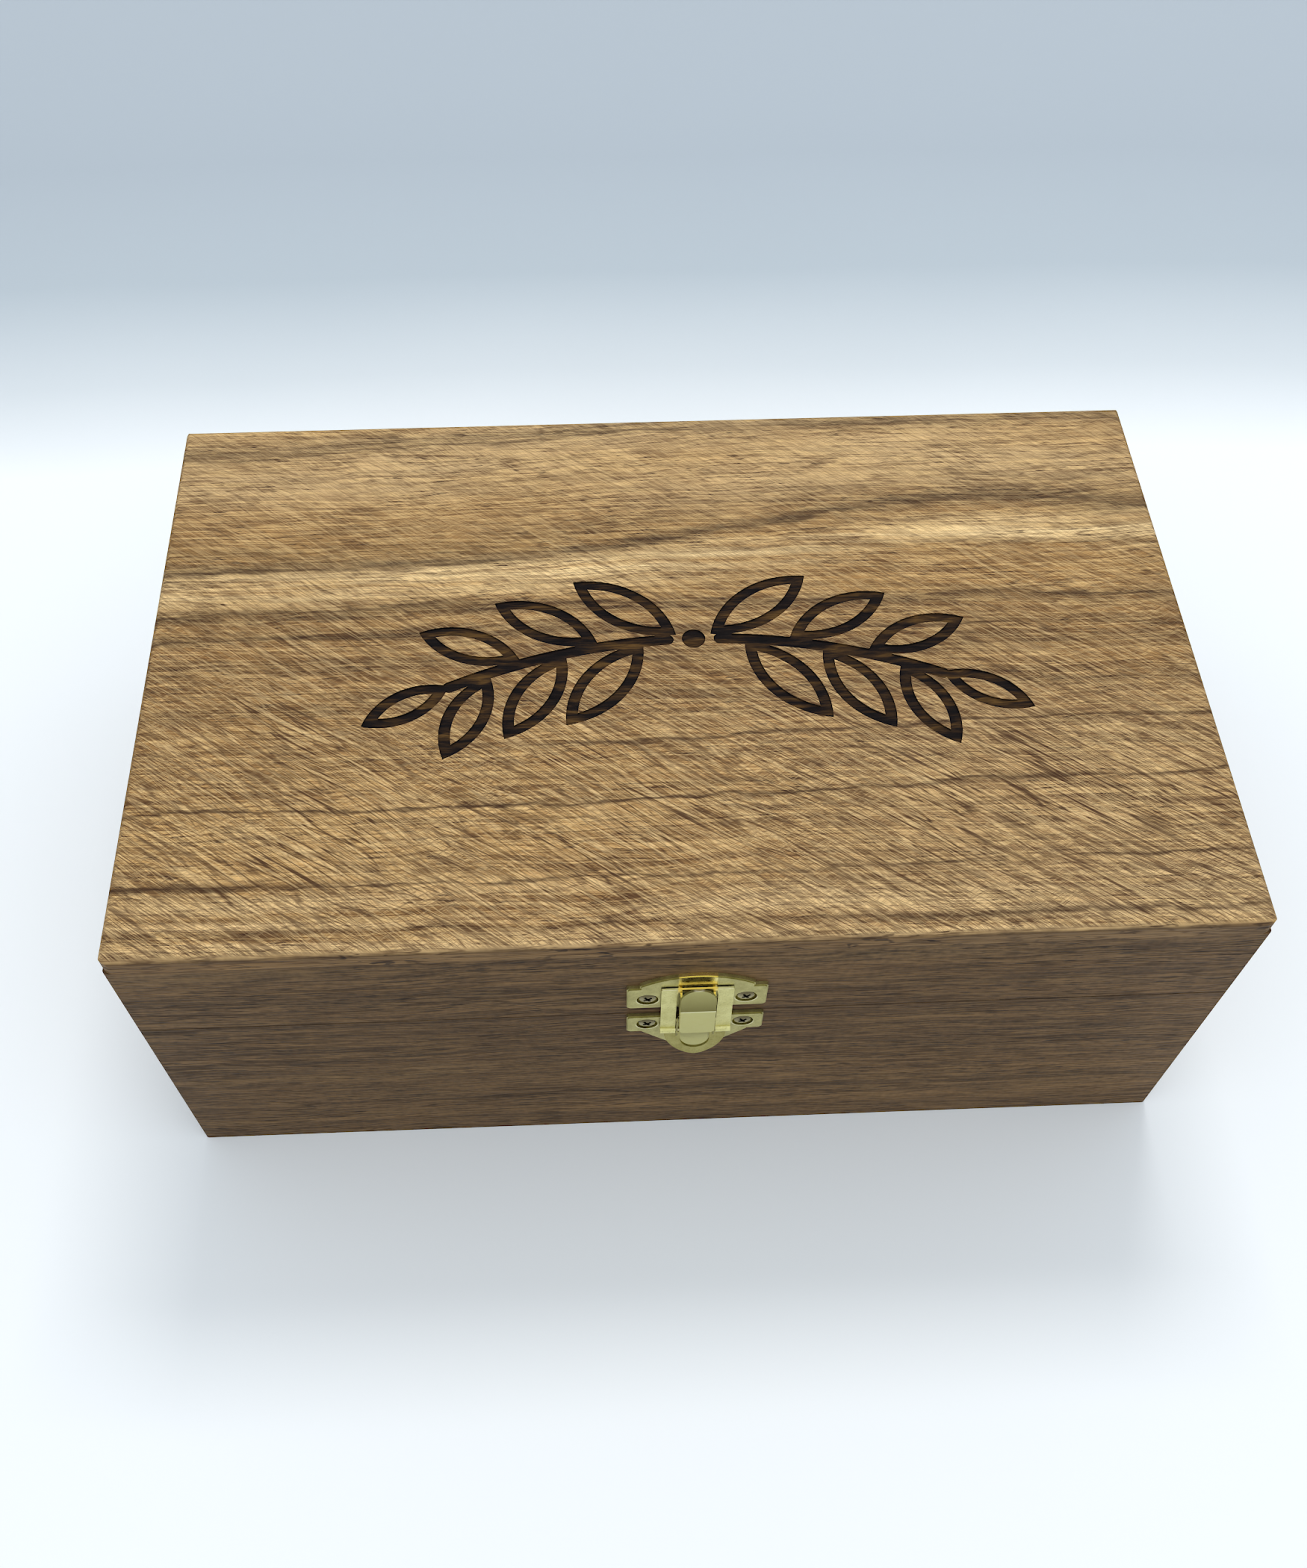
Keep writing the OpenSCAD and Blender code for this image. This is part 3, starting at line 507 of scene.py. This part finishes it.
mat_top = wood_top()
mat_front = wood_wall("wood_front", "x", 2.3, front=True)
mat_back = wood_wall("wood_back", "x", 17.3)
mat_left = wood_wall("wood_left", "y", 31.9)
mat_right = wood_wall("wood_right", "y", 45.1)
mat_panel = wood_wall("wood_panel", "x_top", 61.0, dim=1.12)
mat_brass = plated("plated_brass", lin(172, 164, 104), lin(120, 112, 60), lin(196, 189, 128), 0.42, gold_interreflection=(1.0, 0.86, 0.32, 1.0), hook_reflection_col=lin(202, 196, 131))
# shaded and lit copies of the plate's brass: the lever's darker base is painted shade, the loop's lighter base is
# painted light
mat_lever_shaded = plated("plated_brass_lever_shaded", lin(146, 138, 80), lin(102, 94, 48), lin(170, 162, 104), 0.42)
mat_loop_lit = plated("plated_brass_loop_lit", lin(206, 199, 130), lin(150, 142, 82), lin(226, 220, 156), 0.40, bar_gold_reflection=(1.0, 0.80, 0.26, 1.0))
mat_brass_dk = plated("plated_brass_hinge", lin(198, 188, 120), lin(140, 128, 70), lin(220, 212, 150), 0.40)
mat_screw = plated("screw_metal", lin(176, 166, 122), lin(72, 62, 36), lin(212, 202, 158), 0.36, scale=1.6, shade_heads=True)

paint = {
    "lid_top_board": mat_top,
    "lid_front_board": mat_front, "base_front_board": mat_front,
    "lid_back_board": mat_back, "base_back_board": mat_back,
    "lid_left_board": mat_left, "base_left_board": mat_left,
    "lid_right_board": mat_right, "base_right_board": mat_right,
    "base_bottom_panel": mat_panel,
    "catch_keeper": mat_brass, "catch_base_plate": mat_brass, "catch_lever": mat_lever_shaded, "catch_loop": mat_loop_lit,
    "catch_keeper_screws": mat_screw, "catch_base_screws": mat_screw,
    "catch_lever_pin": mat_screw, "catch_loop_pin": mat_screw,
    "hinge_left_base_leaf": mat_brass_dk, "hinge_left_lid_leaf": mat_brass_dk,
    "hinge_right_base_leaf": mat_brass_dk, "hinge_right_lid_leaf": mat_brass_dk,
    "hinge_left_pin": mat_screw, "hinge_right_pin": mat_screw,
    "hinge_base_screws": mat_screw, "hinge_lid_screws": mat_screw,
}
for name, mat in paint.items():
    ob = nodes[name]
    if not ob.material_slots:
        ob.data.materials.append(mat)
    for s in ob.material_slots:
        s.material = mat

# ---------------------------------------------------------------- studio
def stage_material(name, rgb, rough=0.9):
    g = Graph(name)
    p = g.coord()
    n = g.noise(p, 3.0, 3.0, 0.5)
    g.put(g.bsdf.inputs["Base Color"], g.mix(g.span(n, 0.3, 0.7), rgb, tuple(min(1.0, c * 1.015) for c in rgb[:3]) + (1.0,)))
    g.bsdf.inputs["Roughness"].default_value = rough
    g.bsdf.inputs["Specular IOR Level"].default_value = 0.15
    return g.mat


def sweep():
    """Paper sweep: level floor that curves up into a wall behind the box."""
    prof = [(-1.6, 0.0), (-0.6, 0.0), (-0.2, 0.0), (0.25, 0.0)]
    r, y0 = 0.25, 0.25
    for i in range(1, 25):
        a = math.radians(90 * i / 24)
        prof.append((y0 + r * math.sin(a), r - r * math.cos(a)))
    prof.append((y0 + r, 0.5))
    me = bpy.data.meshes.new("backdrop")
    vs, fs = [], []
    for (yy, zz) in prof:
        vs += [(-2.2, yy, zz), (2.2, yy, zz)]
    for i in range(len(prof) - 1):
        fs.append((2 * i, 2 * i + 1, 2 * i + 3, 2 * i + 2))
    me.from_pydata(vs, [], fs)
    me.polygons.foreach_set("use_smooth", [True] * len(fs))
    ob = bpy.data.objects.new("backdrop", me)
    bpy.context.scene.collection.objects.link(ob)
    g = Graph("paper")
    x, y, z = g.split(g.coord())
    s = g.add(y, z)
    n = g.noise(g.join(x, y, z), 5.0, 2.0, 0.5)
    s = g.add(s, g.mul(g.m("SUBTRACT", n, 0.5), 0.02), g.mul(x, x, 0.12))
    # painted shade: the paper darkens from the floor up the curve into the wall, and towards the sides
    base = g.ramp(g.span(s, 0.12, 0.46), [
        (0.0, (0.93, 0.95, 0.965, 1.0)), (0.14, (0.93, 0.95, 0.965, 1.0)), (0.26, (0.68, 0.72, 0.75, 1.0)),
        (0.42, (0.48, 0.535, 0.58, 1.0)), (0.62, (0.44, 0.49, 0.54, 1.0)), (1.0, (0.50, 0.55, 0.60, 1.0))])
    g.put(g.bsdf.inputs["Base Color"], base)
    g.bsdf.inputs["Roughness"].default_value = 0.9
    g.bsdf.inputs["Specular IOR Level"].default_value = 0.1
    ob.data.materials.append(g.mat)
    return ob


sweep()


def area(name, loc, target, sx, sy, power, color):
    li = bpy.data.lights.new(name, "AREA")
    li.shape = "RECTANGLE"
    li.size, li.size_y = sx, sy
    li.energy = power
    li.color = color
    ob = bpy.data.objects.new(name, li)
    bpy.context.scene.collection.objects.link(ob)
    ob.location = loc
    ob.rotation_euler = (Vector(target) - Vector(loc)).to_track_quat("-Z", "Y").to_euler()
    return ob


area("key", (0.10, 0.60, 1.25), (0.0, 0.0, 0.05), 0.50, 0.32, 6.4, (1.0, 0.99, 0.97))

world = bpy.data.worlds.new("soft_room")
bpy.context.scene.world = world
world.use_nodes = True
wt = world.node_tree
bg = wt.nodes["Background"]
wc = wt.nodes.new("ShaderNodeTexCoord")
ws = wt.nodes.new("ShaderNodeSeparateXYZ")
wt.links.new(wc.outputs["Generated"], ws.inputs[0])


def wmap(sock, a, b, c, d):
    n = wt.nodes.new("ShaderNodeMapRange")
    n.interpolation_type = "SMOOTHSTEP"
    wt.links.new(sock, n.inputs[0])
    for i, v in enumerate((a, b, c, d)):
        n.inputs[i + 1].default_value = v
    return n.outputs[0]


# brighter overhead and in front, dimmer towards the horizon and behind
up = wmap(ws.outputs[2], 0.0, 0.6, 0.50, 1.0)
frt = wmap(ws.outputs[1], -0.6, 0.6, 1.0, 0.62)
wm = wt.nodes.new("ShaderNodeMath")
wm.operation = "MULTIPLY"
wt.links.new(up, wm.inputs[0])
wt.links.new(frt, wm.inputs[1])
wm2 = wt.nodes.new("ShaderNodeMath")
wm2.operation = "MULTIPLY"
wt.links.new(wm.outputs[0], wm2.inputs[0])
wm2.inputs[1].default_value = 1.16
wt.links.new(wm2.outputs[0], bg.inputs[1])
bg.inputs[0].default_value = (0.90, 0.955, 1.0, 1.0)

# ---------------------------------------------------------------- camera
cam_data = bpy.data.cameras.new("camera")
cam = bpy.data.objects.new("camera", cam_data)
bpy.context.scene.collection.objects.link(cam)
rot = Vector((2.56121319, -0.0514353197, 0.0211437496))
R = Matrix.Rotation(rot.length, 3, rot.normalized())      # world to camera, rows right / down / forward
t = Vector((0.00914786432, 0.0165174910, 0.425211784))
C = -(R.transposed() @ t)
right, down, fwd = R[0], R[1], R[2]
M = Matrix.Identity(4)
for i in range(3):
    M[i][0] = right[i]
    M[i][1] = -down[i]
    M[i][2] = -fwd[i]
    M[i][3] = C[i]
cam.matrix_world = M
cam_data.sensor_fit = "AUTO"
cam_data.sensor_width = 36.0
cam_data.lens = 2011.882 * 36.0 / 2100.0
cam_data.shift_x = (875.0 - 845.0) / 2100.0
cam_data.shift_y = (1080.0 - 1050.0) / 2100.0
cam_data.clip_start = 0.01
cam_data.clip_end = 20.0
bpy.context.scene.camera = cam

sc = bpy.context.scene
sc.view_settings.view_transform = "Standard"
sc.view_settings.look = "None"
sc.view_settings.exposure = 0.0
sc.view_settings.gamma = 1.0

sc.cycles.filter_width = 1.2
sc.use_nodes = True
ct = sc.node_tree
ct.nodes.clear()
layer = ct.nodes.new("CompositorNodeRLayers")
crisp = ct.nodes.new("CompositorNodeFilter")
crisp.filter_type = "SHARPEN_DIAMOND"
crisp.inputs["Fac"].default_value = 0.14
final = ct.nodes.new("CompositorNodeComposite")
ct.links.new(layer.outputs["Image"], crisp.inputs["Image"])
ct.links.new(crisp.outputs["Image"], final.inputs["Image"])
